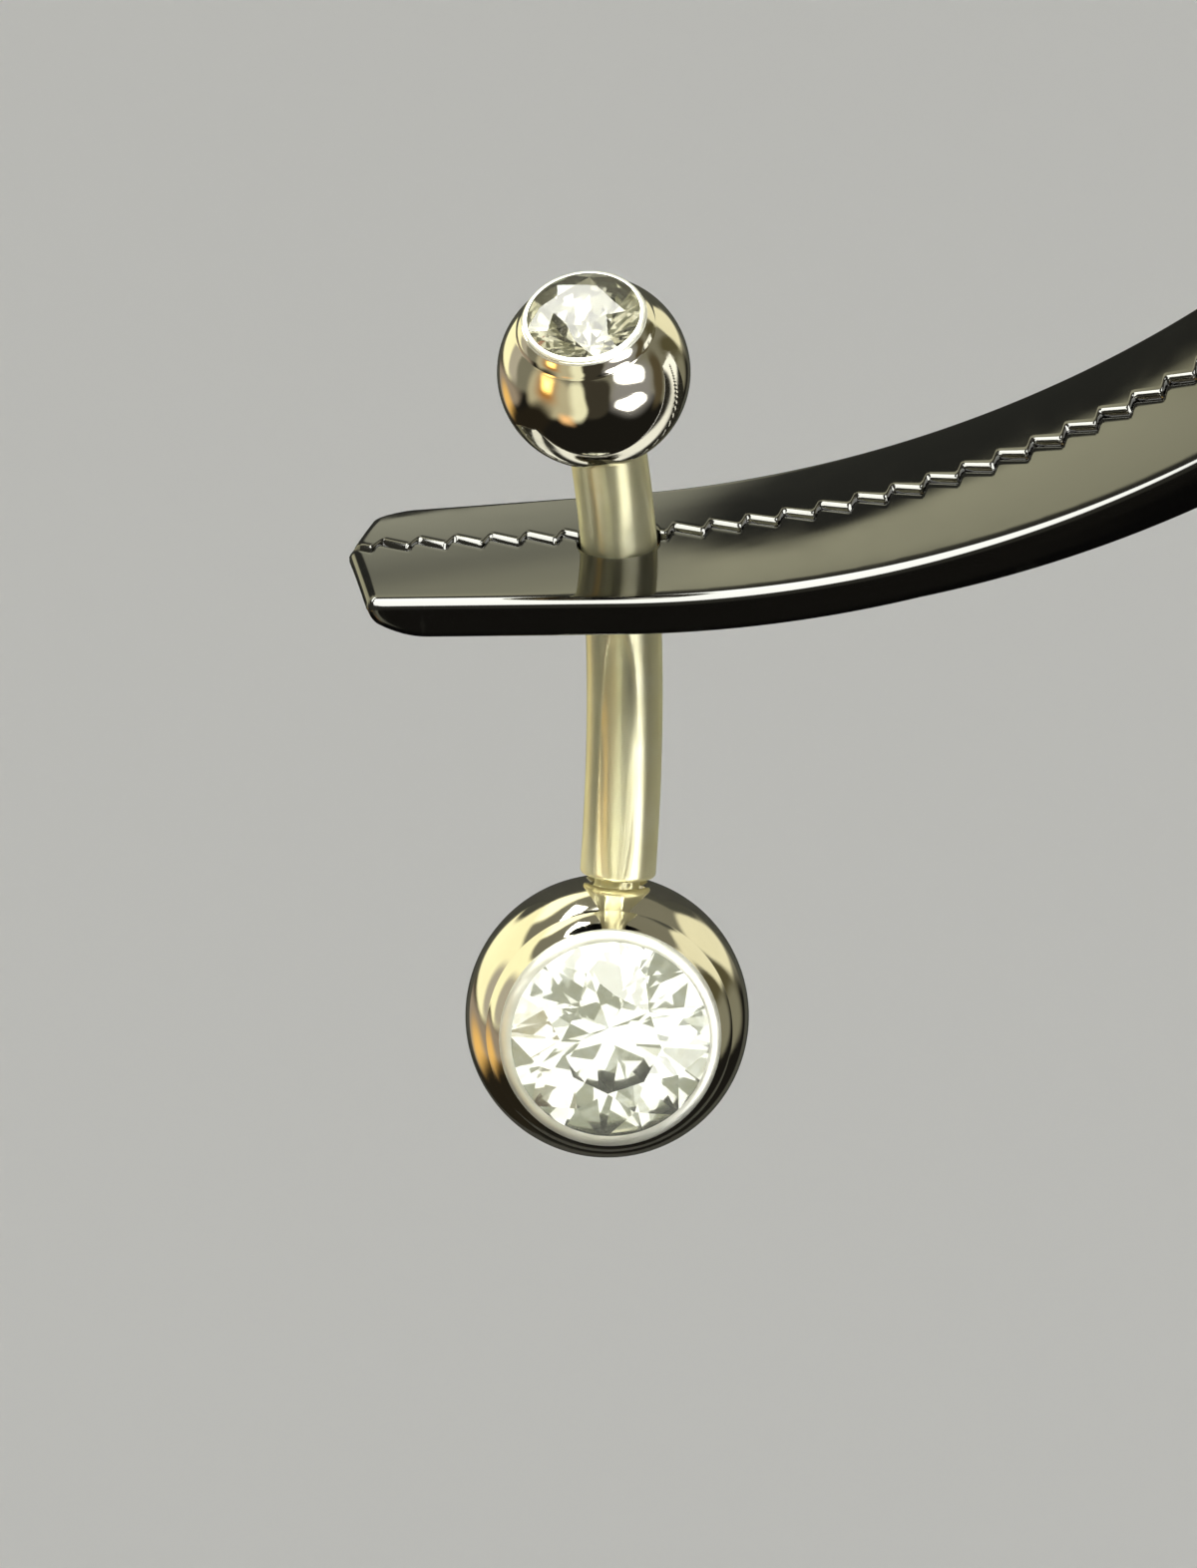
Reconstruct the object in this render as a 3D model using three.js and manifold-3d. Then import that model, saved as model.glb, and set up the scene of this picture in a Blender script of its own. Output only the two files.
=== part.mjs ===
// A curved barbell belly button ring, gripped in the hole of a slit display strip.
// Millimetres, +Z up. The origin is the centre of the strip's cut end, where it is held.
import * as THREE from 'three';
import { ConvexGeometry } from 'three/addons/geometries/ConvexGeometry.js';
import { mergeVertices } from 'three/addons/utils/BufferGeometryUtils.js';
import Module from 'manifold-3d';

const wasm = await Module();
wasm.setup();

const RAD = Math.PI / 180;

// ---- Driving dimensions -------------------------------------------------------------------

// The bar: 14 gauge, bent to an arc in an upright plane that is turned from the Y axis.
const BAR = {
  radius: 0.8,
  bend: 16,           // radius of the arc along its middle
  plane: 16.8,        // degrees from +Y towards +X in which the arc bulges
  roll: 1.1,          // degrees that the arc's plane leans to +X at its top
  lean: 17.6,         // degrees from upright towards -Y, where it passes the strip's top
  above: 3,           // arc length from there up to its upper end face
  below: 7.9,         // and down to its lower end face
  bevel: 0.12,
  endRadius: 0.6,     // of the flat end faces, inside the bevels
  postRadius: 0.56,
  postTip: 0.4,       // radius of a post's flat tip
  steps: 16,
  sides: 32,
};

// A ball: its gem faces its own +Z. The collar stands proud of the sphere and holds the stone.
const TOP_BALL = {
  radius: 2,
  collarBase: 1.42, collarTop: 1.31, collarHeight: 1.7,
  stoneRadius: 1.24, girdle: 1.66, table: 0.6, crown: 0.36,
  threadDepth: 1.7,
  endGap: 0.06,       // from its spot face to the bar's end face
};
const BOTTOM_BALL = {
  radius: 3,
  collarBase: 2.52, collarTop: 2.31, collarHeight: 2.2,
  stoneRadius: 2.2, girdle: 2.12, table: 1.06, crown: 0.6,
  threadDepth: 1.6,
  endGap: 0.13,
};
const BALL_SIDES = 48;
const THREAD_HOLE = 0.65;   // radius of a ball's threaded hole
const SPOT_FACE = 0.76;     // radius of the flat around it
const POST_SHORT = 0.15;    // a post stops this far from the bottom of its hole
const GIRDLE_EDGE = 0.06;   // height of a stone's girdle
const PAVILION = 40;        // degrees between the girdle's plane and the back facets
const STONE_GAP = 0.05;     // between a stone and its cup
const GEM_DIRECTION = new THREE.Vector3(0.03, -0.987, 0.163);   // where the lower stone faces

// The strip: a thin bar of arched section. It runs straight from its tip to the hole, and
// curves up and twists from there on. s is the length along its middle from the hole.
const STRIP = {
  tip: -5.65, end: 18.3,
  halfWidth: 3,
  arch: 0.16,         // its middle stands this much above its edges
  thickness: 0.82,
  thickensAt: 6, thicker: 0.035,     // mm of thickness per mm of length past there
  thinsAt: -4.3, thinner: 0.4,       // its underside sweeps up by this much to its tip
  bevel: 0.12,
  slope: 2.5,         // degrees, of the straight stretch
  bend: 25.5,         // radius of the curve that follows
  twist: 1,           // degrees at the hole, front edge down
  twistBefore: 0.7, twistAfter: 0.68,   // degrees per mm on each side of it
  acrossSteps: 10, straightSteps: 12, curvedSteps: 20,
};
// Its tip is a shallow point, with the rear corner rounded off much more than the front one.
const TIP = { pointIn: 0.4, rearRound: 0.85, rearLength: 2.4, frontRound: 0.25 };
const HOLE_RADIUS = 0.88;
const HOLE_SIDES = 32;
// The slit: saw teeth with a long flank towards the front and a short one back, lying a
// little behind the middle. It is open at the tip.
const SLIT = { gap: 0.07, pitch: 0.775, depth: 0.5, longShare: 0.84, back: 0.22, start: -6.6, end: 15.6 };

// ---- Meshes and solids --------------------------------------------------------------------

function toSolid(geometry) {
  const bare = geometry.clone();
  bare.deleteAttribute('normal');
  bare.deleteAttribute('uv');
  const merged = mergeVertices(bare, 1e-5);
  return new wasm.Manifold(new wasm.Mesh({
    numProp: 3,
    vertProperties: new Float32Array(merged.attributes.position.array),
    triVerts: new Uint32Array(merged.index.array),
  }));
}

function toGeometry(solid) {
  const mesh = solid.getMesh();
  const geometry = new THREE.BufferGeometry();
  geometry.setAttribute('position', new THREE.BufferAttribute(mesh.vertProperties, 3));
  geometry.setIndex(new THREE.BufferAttribute(mesh.triVerts, 1));
  geometry.computeVertexNormals();
  return geometry;
}

// A closed body through rings of points, each ring going round the same way.
function loft(rings) {
  const count = rings[0].length;
  const index = [];
  for (let i = 0; i < rings.length - 1; i++) {
    for (let j = 0; j < count; j++) {
      const a = i * count + j;
      const b = i * count + (j + 1) % count;
      index.push(a, b, b + count, a, b + count, a + count);
    }
  }
  const last = (rings.length - 1) * count;
  for (let j = 1; j < count - 1; j++) {
    index.push(0, j + 1, j);
    index.push(last, last + j, last + j + 1);
  }
  const geometry = new THREE.BufferGeometry().setFromPoints(rings.flat());
  geometry.setIndex(index);
  return geometry;
}

function cylinder(radius, from, to, sides) {
  const geometry = new THREE.CylinderGeometry(radius, radius, to - from, sides);
  geometry.rotateX(Math.PI / 2);
  return geometry.translate(0, 0, (from + to) / 2);
}

// ---- The bar's line -----------------------------------------------------------------------

const upright = new THREE.Vector3(Math.sin(BAR.roll * RAD), 0, Math.cos(BAR.roll * RAD));
const bulge = new THREE.Vector3(Math.sin(BAR.plane * RAD), Math.cos(BAR.plane * RAD), 0)
  .projectOnPlane(upright).normalize();
const acrossPlane = new THREE.Vector3().crossVectors(bulge, upright);

// The bar's middle at arc length s above the strip, and its direction there, upwards.
function barPoint(s) {
  const start = BAR.lean * RAD;
  const lean = start + s / BAR.bend;
  const out = BAR.bend * (Math.cos(lean) - Math.cos(start));
  const up = BAR.bend * (Math.sin(lean) - Math.sin(start));
  return {
    at: new THREE.Vector3().addScaledVector(bulge, out).addScaledVector(upright, up),
    direction: new THREE.Vector3()
      .addScaledVector(bulge, -Math.sin(lean))
      .addScaledVector(upright, Math.cos(lean)),
  };
}

// The flat round a ball's threaded hole, from the ball's centre.
const spotFace = (ball) => Math.sqrt(ball.radius ** 2 - SPOT_FACE ** 2);
const postLength = (ball) => ball.endGap + ball.threadDepth - POST_SHORT;

// A round section of the bar.
function roundSection({ at, direction }, radius) {
  const other = new THREE.Vector3().crossVectors(direction, acrossPlane);
  return Array.from({ length: BAR.sides }, (_, i) => {
    const turn = (2 * Math.PI * i) / BAR.sides;
    return at.clone()
      .addScaledVector(acrossPlane, radius * Math.cos(turn))
      .addScaledVector(other, radius * Math.sin(turn));
  });
}

// The point a length beyond an end of the bar, straight on along it.
function beyond(end, length) {
  return { at: end.at.clone().addScaledVector(end.direction, length), direction: end.direction };
}

function barGeometry() {
  const { radius, endRadius, postRadius, postTip, bevel } = BAR;
  const tipBevel = postRadius - postTip;
  const low = barPoint(-BAR.below);
  const high = barPoint(BAR.above);
  const lowPost = postLength(BOTTOM_BALL);
  const highPost = postLength(TOP_BALL);
  const rings = [
    roundSection(beyond(low, -lowPost), postTip),
    roundSection(beyond(low, tipBevel - lowPost), postRadius),
    roundSection(low, postRadius),
    roundSection(low, endRadius),
  ];
  for (let i = 0; i <= BAR.steps; i++) {
    const s = THREE.MathUtils.lerp(bevel - BAR.below, BAR.above - bevel, i / BAR.steps);
    rings.push(roundSection(barPoint(s), radius));
  }
  rings.push(
    roundSection(high, endRadius),
    roundSection(high, postRadius),
    roundSection(beyond(high, highPost - tipBevel), postRadius),
    roundSection(beyond(high, highPost), postTip),
  );
  return loft(rings);
}

// ---- Balls and stones, each with its gem facing +Z ---------------------------------------

// Where a stone's facets end below, from the ball's centre.
const culet = (ball) => ball.girdle - ball.stoneRadius * Math.tan(PAVILION * RAD);

function ballProfile(ball) {
  const seat = ball.stoneRadius + STONE_GAP;
  const cupFloor = culet(ball) - STONE_GAP / Math.cos(PAVILION * RAD);
  const foot = Math.asin(Math.sqrt(1 - (ball.collarBase / ball.radius) ** 2));
  const steps = 16;
  const points = [];
  for (let i = 0; i <= steps; i++) {
    const turn = THREE.MathUtils.lerp(-Math.PI / 2, foot, i / steps);
    points.push(new THREE.Vector2(ball.radius * Math.cos(turn), ball.radius * Math.sin(turn)));
  }
  points[0].x = 0;
  // A short concave sweep carries the sphere into the collar's wall.
  const collarFoot = points.at(-1);
  const sweep = 0.08 * ball.radius;
  points.push(
    new THREE.Vector2(collarFoot.x - 0.12 * sweep, collarFoot.y + 0.5 * sweep),
    new THREE.Vector2(ball.collarTop + 0.02 * ball.radius, ball.collarHeight - 0.03 * ball.radius),
    new THREE.Vector2(ball.collarTop, ball.collarHeight),
    new THREE.Vector2(seat, ball.collarHeight),
    new THREE.Vector2(seat, ball.girdle - STONE_GAP),
    new THREE.Vector2(0, cupFloor),
  );
  return points;
}

// thread is the direction, from the centre, in which the threaded hole opens.
function ballGeometry(ball, thread) {
  const face = spotFace(ball);
  const turn = new THREE.Quaternion().setFromUnitVectors(new THREE.Vector3(0, 0, 1), thread);
  const hole = cylinder(THREAD_HOLE, face - ball.threadDepth, ball.radius + 1, BAR.sides);
  const flat = cylinder(SPOT_FACE + 0.1, face, ball.radius + 1, BAR.sides);
  // A LatheGeometry turns about Y, so its axis is stood up along Z.
  const body = new THREE.LatheGeometry(ballProfile(ball), BALL_SIDES).rotateX(Math.PI / 2);
  const cut = toSolid(body)
    .subtract(toSolid(hole.applyQuaternion(turn)))
    .subtract(toSolid(flat.applyQuaternion(turn)));
  return toGeometry(cut);
}

// A round brilliant: table, eight main crown facets, girdle, eight main back facets, culet.
function stoneGeometry(ball) {
  const points = [];
  const ring = (count, radius, z, offset) => {
    for (let i = 0; i < count; i++) {
      const turn = (2 * Math.PI * (i + offset)) / count;
      points.push(new THREE.Vector3(radius * Math.cos(turn), radius * Math.sin(turn), z));
    }
  };
  const { stoneRadius, girdle, table, crown } = ball;
  ring(8, table, girdle + crown, 0);
  ring(8, 0.5 * (table + stoneRadius), girdle + 0.62 * crown, 0.5);
  ring(16, stoneRadius, girdle + GIRDLE_EDGE / 2, 0);
  ring(16, stoneRadius, girdle - GIRDLE_EDGE / 2, 0);
  points.push(new THREE.Vector3(0, 0, culet(ball)));
  return new ConvexGeometry(points);
}

// ---- The strip ----------------------------------------------------------------------------

// The strip's middle line at length s from the hole, with its three directions there.
function stripFrame(s) {
  const start = STRIP.slope * RAD;
  const slope = start + Math.max(s, 0) / STRIP.bend;
  const at = new THREE.Vector3(
    Math.min(s, 0) * Math.cos(start) + STRIP.bend * (Math.sin(slope) - Math.sin(start)),
    0,
    Math.min(s, 0) * Math.sin(start) + STRIP.bend * (Math.cos(start) - Math.cos(slope)),
  );
  const along = new THREE.Vector3(Math.cos(slope), 0, Math.sin(slope));
  const twist = STRIP.twist + s * (s > 0 ? STRIP.twistAfter : STRIP.twistBefore);
  const across = new THREE.Vector3(0, 1, 0).applyAxisAngle(along, twist * RAD);
  const up = new THREE.Vector3().crossVectors(along, across);
  return { at, along, across, up };
}

// A point of the bent strip: s along it, y across it to the rear, h above its top surface.
function stripPoint(s, y, h) {
  const { at, across, up } = stripFrame(s);
  const height = h - STRIP.arch * (y / STRIP.halfWidth) ** 2;
  return at.addScaledVector(across, y).addScaledVector(up, height);
}

function stripThickness(s) {
  const { thickness, thickensAt, thicker, thinsAt, thinner, tip } = STRIP;
  const toTip = Math.max((s - thinsAt) / (tip - thinsAt), 0);
  return thickness + thicker * Math.max(s - thickensAt, 0) - thinner * toTip ** 2;
}

function stripSection(s) {
  const { halfWidth, bevel, acrossSteps } = STRIP;
  const thickness = stripThickness(s);
  const inner = halfWidth - bevel;
  const ring = [];
  for (let i = 0; i <= acrossSteps; i++) {
    ring.push(stripPoint(s, inner * ((2 * i) / acrossSteps - 1), 0));
  }
  ring.push(stripPoint(s, halfWidth, -bevel));
  ring.push(stripPoint(s, halfWidth, bevel - thickness));
  for (let i = acrossSteps; i >= 0; i--) {
    ring.push(stripPoint(s, inner * ((2 * i) / acrossSteps - 1), -thickness));
  }
  ring.push(stripPoint(s, -halfWidth, bevel - thickness));
  ring.push(stripPoint(s, -halfWidth, -bevel));
  return ring.reverse();
}

function stripBlock() {
  const { tip, end, straightSteps, curvedSteps } = STRIP;
  const rings = [];
  for (let i = 0; i < straightSteps; i++) {
    rings.push(stripSection(THREE.MathUtils.lerp(tip, 0, i / straightSteps)));
  }
  for (let i = 0; i <= curvedSteps; i++) {
    rings.push(stripSection((end * i) / curvedSteps));
  }
  return loft(rings);
}

// What is kept of the strip, from above: its pointed tip with the rounded corners.
function tipOutline() {
  const { halfWidth, tip, end } = STRIP;
  const beside = halfWidth + 1;
  const shoulder = tip + TIP.pointIn;
  const outline = new THREE.Shape();
  outline.moveTo(tip, 0);
  outline.lineTo(shoulder - 0.05, TIP.frontRound - halfWidth);
  outline.quadraticCurveTo(shoulder, -halfWidth, shoulder + TIP.frontRound, -beside);
  outline.lineTo(end + 1, -beside);
  outline.lineTo(end + 1, beside);
  outline.lineTo(tip + TIP.rearLength, beside);
  outline.lineTo(tip + TIP.rearLength, halfWidth);
  outline.quadraticCurveTo(shoulder + 0.6, halfWidth, shoulder - 0.1, halfWidth - TIP.rearRound);
  outline.closePath();
  const height = 24;
  return new THREE.ExtrudeGeometry(outline, { depth: height, bevelEnabled: false, curveSegments: 8 })
    .translate(0, 0, -height / 2);
}

// The corners of the slit's middle line.
function slitLine() {
  const { pitch, depth, longShare, back, start, end } = SLIT;
  const line = [];
  for (let s = start; s < end; s += pitch) {
    line.push({ s, y: back + depth / 2 });
    line.push({ s: s + longShare * pitch, y: back - depth / 2 });
  }
  return line;
}

function slitCutter() {
  const margin = 0.6;
  const half = SLIT.gap / 2;
  const rings = slitLine().map(({ s, y }) => {
    const top = margin;
    const bottom = -stripThickness(s) - margin;
    return [
      stripPoint(s, y - half, top), stripPoint(s, y - half, bottom),
      stripPoint(s, y + half, bottom), stripPoint(s, y + half, top),
    ];
  });
  return loft(rings);
}

function stripGeometry() {
  const here = barPoint(-STRIP.thickness / 2);
  const lean = new THREE.Quaternion().setFromUnitVectors(new THREE.Vector3(0, 0, 1), here.direction);
  const hole = cylinder(HOLE_RADIUS, -3, 3, HOLE_SIDES).applyQuaternion(lean)
    .translate(here.at.x, here.at.y, here.at.z);
  return toGeometry(toSolid(stripBlock())
    .intersect(toSolid(tipOutline()))
    .subtract(toSolid(slitCutter()))
    .subtract(toSolid(hole)));
}

// ---- Materials ----------------------------------------------------------------------------

const steel = new THREE.MeshStandardMaterial({ color: 0xd8d4c8, roughness: 0.08, metalness: 1 });
const crystal = new THREE.MeshStandardMaterial({ color: 0xf2f5f0, roughness: 0.03, metalness: 0 });
const plastic = new THREE.MeshStandardMaterial({ color: 0x101010, roughness: 0.15, metalness: 0 });

function named(name, geometry, material) {
  const mesh = new THREE.Mesh(geometry, material);
  mesh.name = name;
  return mesh;
}

// ---- Assembly -----------------------------------------------------------------------------

// The upper ball and its stone are in line with the bar.
const up = new THREE.Vector3(0, 0, 1);
const highEnd = barPoint(BAR.above);
const topBall = new THREE.Group();
topBall.add(named('top_ball', ballGeometry(TOP_BALL, up.clone().negate()), steel));
topBall.add(named('top_stone', stoneGeometry(TOP_BALL), crystal));
topBall.quaternion.setFromUnitVectors(up, highEnd.direction);
topBall.position.copy(beyond(highEnd, spotFace(TOP_BALL) + TOP_BALL.endGap).at);

// The lower ball hangs from the bar by a hole in its side, at right angles to its gem.
const lowEnd = barPoint(-BAR.below);
const bottomBall = new THREE.Group();
bottomBall.add(named('bottom_ball', ballGeometry(BOTTOM_BALL, new THREE.Vector3(1, 0, 0)), steel));
bottomBall.add(named('bottom_stone', stoneGeometry(BOTTOM_BALL), crystal));
const gem = GEM_DIRECTION.clone().projectOnPlane(lowEnd.direction).normalize();
const side = new THREE.Vector3().crossVectors(gem, lowEnd.direction);
bottomBall.quaternion.setFromRotationMatrix(
  new THREE.Matrix4().makeBasis(lowEnd.direction, side, gem));
bottomBall.position.copy(beyond(lowEnd, -spotFace(BOTTOM_BALL) - BOTTOM_BALL.endGap).at);

const part = new THREE.Group();
part.add(named('display_strip', stripGeometry(), plastic));
part.add(named('bar', barGeometry(), steel));
part.add(topBall, bottomBall);

// The whole is moved so that the middle of the strip's cut end is the origin.
const cutEnd = stripPoint(STRIP.end, 0, -stripThickness(STRIP.end) / 2);
part.position.copy(cutEnd).negate();

const model = new THREE.Group();
model.add(part);
export default model;
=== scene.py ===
"""A curved barbell belly button ring, held in the hole of a slit display strip.

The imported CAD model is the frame. Every piece here stands for one CAD node and is made in
millimetres in the strip's own frame, whose origin is the middle of the hole in its top.
place_piece moves it into the row frame, in metres.
"""
import math
from types import SimpleNamespace as Sizes

import bmesh
import bpy
from mathutils import Matrix, Vector
from mathutils.noise import noise_vector, seed_set


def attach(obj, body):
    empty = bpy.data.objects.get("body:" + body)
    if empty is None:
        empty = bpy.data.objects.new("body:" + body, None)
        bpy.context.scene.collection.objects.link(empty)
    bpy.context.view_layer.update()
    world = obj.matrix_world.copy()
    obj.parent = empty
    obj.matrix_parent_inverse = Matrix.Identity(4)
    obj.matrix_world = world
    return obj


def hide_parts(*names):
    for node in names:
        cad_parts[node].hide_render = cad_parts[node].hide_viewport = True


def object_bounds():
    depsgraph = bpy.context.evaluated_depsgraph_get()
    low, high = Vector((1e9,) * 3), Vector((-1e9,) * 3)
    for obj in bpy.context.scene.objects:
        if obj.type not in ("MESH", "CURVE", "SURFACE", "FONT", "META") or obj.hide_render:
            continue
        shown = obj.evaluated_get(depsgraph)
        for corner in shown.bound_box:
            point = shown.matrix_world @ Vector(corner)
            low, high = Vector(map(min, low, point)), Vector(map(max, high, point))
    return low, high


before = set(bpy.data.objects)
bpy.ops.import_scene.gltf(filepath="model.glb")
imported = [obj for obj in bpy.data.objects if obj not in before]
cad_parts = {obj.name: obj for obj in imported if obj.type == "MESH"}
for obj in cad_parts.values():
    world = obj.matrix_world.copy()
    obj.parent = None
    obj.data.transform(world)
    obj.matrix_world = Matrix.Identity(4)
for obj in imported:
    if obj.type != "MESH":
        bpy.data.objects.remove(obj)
cad_low, cad_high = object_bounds()

MM = 0.001
UP = Vector((0, 0, 1))

# ---- Driving sizes, in millimetres and degrees ------------------------------------------------

# A 14 gauge bar bent to an arc. above and below are its lengths on each side of the strip's top.
BAR = Sizes(radius=0.8, bend=16.0, plane=16.8, roll=1.1, lean=17.6, above=3.0, below=7.9, sides=96)
# short is the room that a post leaves below it in its hole.
POST = Sizes(
    crest=0.56, root=0.475, pitch=0.25, neck=0.14, short=0.15, tip=0.4, tip_length=0.2,
    ridge_top=1.25, ridge_slope=3.5,
)
SHOULDER = Sizes(radius=0.58, length=0.12)

# lip is the collar's outer radius at its top, lip_inside the radius of the ring that covers the
# stone's edge. girdle is the height of the stone's widest part above the ball's centre.
TOP_BALL = Sizes(
    radius=2.0, foot=1.45, lip=1.32, lip_height=1.70, lip_inside=1.18,
    stone=1.24, girdle=1.66, table=0.6, crown=0.36, hole_depth=1.7, end_gap=0.06,
)
BOTTOM_BALL = Sizes(
    radius=3.0, foot=2.60, lip=2.36, lip_height=2.2, lip_inside=2.09,
    stone=2.2, girdle=2.12, table=1.06, crown=0.6, hole_depth=1.6, end_gap=0.13,
)
BALL_SIDES = 192
# Where the lip's oval has the slope of the wall below it, in radians from its start.
LIP_TURN = 0.38
HOLE = Sizes(crest=0.6, root=0.65, mouth=0.7, spot_face=0.76, plain=0.1, mouth_depth=0.08)
STONE = Sizes(gap=0.05, girdle=0.06, pavilion=40.0, under_lip=0.012)
LOWER_GEM = Vector((0.03, -0.987, 0.163))    # where the lower stone faces

# The strip: arched, slit with saw teeth, straight up to the hole and curving up from there.
STRIP = Sizes(
    tip=-5.65, end=18.3, half_width=3.0, arch=0.16, thickness=0.82, thickens_at=6.0, thicker=0.035,
    thins_at=-4.3, thinner=0.4, slope=2.5, bend=25.5, twist=1.0, twist_before=0.7, twist_after=0.68,
    round_top=0.24, round_low=0.12, round_slit=0.25,
)
TIP = Sizes(
    point=0.4, rear_length=2.4, rear_round=0.85, front_length=0.65, front_round=0.25, reach=4.2,
)
SLIT = Sizes(
    gap=0.07, pitch=0.775, depth=0.5, long_share=0.84, back=0.22, start=-6.6, end=15.6, soft=0.03,
)
STRIP_HOLE = 0.88    # its radius

# The shading is smooth over edges that turn by less than this.
SMOOTH_BELOW = math.radians(35)


# ---- Meshes -----------------------------------------------------------------------------------


def skin(rings, first, last):
    """Points and faces of a closed body through rings, from its first point to its last."""
    count = len(rings[0])
    points = [point for ring in rings for point in ring]
    faces = []
    for i in range(len(rings) - 1):
        for j in range(count):
            a, b = i * count + j, i * count + (j + 1) % count
            faces.append((a, b, b + count, a + count))
    for end, start in ((first, 0), (last, (len(rings) - 1) * count)):
        points.append(end)
        centre = len(points) - 1
        faces += [(centre, start + j, start + (j + 1) % count) for j in range(count)]
    return points, faces


def circle(radius, height, sides):
    turns = [2 * math.pi * i / sides for i in range(sides)]
    return [Vector((radius * math.cos(t), radius * math.sin(t), height)) for t in turns]


def lathe(profile, sides):
    """A body turned about Z from (radius, height) points. The first and last are on the axis."""
    rings = [circle(radius, height, sides) for radius, height in profile[1:-1]]
    return skin(rings, Vector((0, 0, profile[0][1])), Vector((0, 0, profile[-1][1])))


def place_piece(name, points, faces, place, smooth_below=SMOOTH_BELOW):
    """A mesh object of that shape in the row frame, smooth but for edges sharper than an angle."""
    mesh = bpy.data.meshes.new(name)
    mesh.from_pydata([(ROW @ place @ point) * MM for point in points], [], faces)
    shape = bmesh.new()
    shape.from_mesh(mesh)
    bmesh.ops.remove_doubles(shape, verts=shape.verts, dist=1e-8)
    bmesh.ops.recalc_face_normals(shape, faces=shape.faces)
    shape.to_mesh(mesh)
    shape.free()
    mesh.shade_smooth()
    mesh.set_sharp_from_angle(angle=smooth_below)
    piece = bpy.data.objects.new(name, mesh)
    bpy.context.scene.collection.objects.link(piece)
    return piece


def stand_for(piece, node, body):
    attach(piece, body)
    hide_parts(node)


def spread(start, end, steps):
    """steps + 1 even values from start to end."""
    return [start + (end - start) * i / steps for i in range(steps + 1)]


# ---- The lines of the bar and the strip -------------------------------------------------------

UPRIGHT = Vector((math.sin(math.radians(BAR.roll)), 0, math.cos(math.radians(BAR.roll))))
BULGE = Vector((math.sin(math.radians(BAR.plane)), math.cos(math.radians(BAR.plane)), 0))
BULGE = (BULGE - UPRIGHT * BULGE.dot(UPRIGHT)).normalized()
ACROSS = BULGE.cross(UPRIGHT)


def bar_point(s):
    """The bar's middle at arc length s above the strip's top, and its direction.

    Past its ends the line runs on straight.
    """
    start = math.radians(BAR.lean)
    bent = min(max(s, -BAR.below), BAR.above)
    lean = start + bent / BAR.bend
    at = BULGE * BAR.bend * (math.cos(lean) - math.cos(start))
    at += UPRIGHT * BAR.bend * (math.sin(lean) - math.sin(start))
    along = UPRIGHT * math.cos(lean) - BULGE * math.sin(lean)
    return at + along * (s - bent), along


def strip_directions(s):
    """The strip's middle at length s from the hole, and its directions across and up there."""
    start = math.radians(STRIP.slope)
    slope = start + max(s, 0) / STRIP.bend
    at = Vector((
        min(s, 0) * math.cos(start) + STRIP.bend * (math.sin(slope) - math.sin(start)),
        0,
        min(s, 0) * math.sin(start) + STRIP.bend * (math.cos(start) - math.cos(slope)),
    ))
    along = Vector((math.cos(slope), 0, math.sin(slope)))
    twist = STRIP.twist + s * (STRIP.twist_after if s > 0 else STRIP.twist_before)
    across = Matrix.Rotation(math.radians(twist), 3, along) @ Vector((0, 1, 0))
    return at, across, along.cross(across)


def strip_point(s, y, h):
    """s along the strip, y across it to the rear, h above its top surface."""
    at, across, up = strip_directions(s)
    return at + across * y + up * (h - STRIP.arch * (y / STRIP.half_width) ** 2)


def strip_thickness(s):
    to_tip = max((s - STRIP.thins_at) / (STRIP.tip - STRIP.thins_at), 0)
    added = STRIP.thicker * max(s - STRIP.thickens_at, 0)
    return STRIP.thickness + added - STRIP.thinner * to_tip ** 2


# The row frame's origin is the middle of the strip's cut end.
ROW = Matrix.Translation(-strip_point(STRIP.end, 0, -strip_thickness(STRIP.end) / 2))


def spot_face(ball):
    """Height, from the ball's centre, of the flat round its threaded hole."""
    return math.sqrt(ball.radius ** 2 - HOLE.spot_face ** 2)


def post_length(ball):
    return ball.end_gap + ball.hole_depth - POST.short


def frame_matrix(x, y, z, at):
    return Matrix.Translation(at) @ Matrix((x, y, z)).transposed().to_4x4()


def top_place():
    """The upper ball is in line with the bar, and its gem faces on along it."""
    end, along = bar_point(BAR.above)
    at = end + along * (spot_face(TOP_BALL) + TOP_BALL.end_gap)
    return Matrix.Translation(at) @ UP.rotation_difference(along).to_matrix().to_4x4()


def bottom_place():
    """The lower ball hangs from the bar by its side, its gem facing the front."""
    end, along = bar_point(-BAR.below)
    gem = (LOWER_GEM - along * LOWER_GEM.dot(along)).normalized()
    at = end - along * (spot_face(BOTTOM_BALL) + BOTTOM_BALL.end_gap)
    return frame_matrix(along, gem.cross(along), gem, at)


# ---- The bar ----------------------------------------------------------------------------------


def thread_radius(depth, length, turn):
    """Radius of a threaded post at a depth past its shoulder, at an angle round it."""
    phase = (depth / POST.pitch + turn / (2 * math.pi)) % 1
    ridge = min(max(POST.ridge_top - POST.ridge_slope * abs(phase - 0.5), 0), 1)
    full = min(max((depth - POST.neck) / POST.pitch, 0), 1)
    radius = POST.root + (POST.crest - POST.root) * ridge * full
    to_tip = max(depth - (length - POST.tip_length), 0) / POST.tip_length
    return min(radius, POST.crest + (POST.tip - POST.crest) * to_tip)


def bar_ring(s, radius):
    """A section of the bar; radius is a function of the angle round it."""
    at, along = bar_point(s)
    other = along.cross(ACROSS)
    ring = []
    for i in range(BAR.sides):
        turn = 2 * math.pi * i / BAR.sides
        r = radius(turn)
        ring.append(at + ACROSS * r * math.cos(turn) + other * r * math.sin(turn))
    return ring


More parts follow.
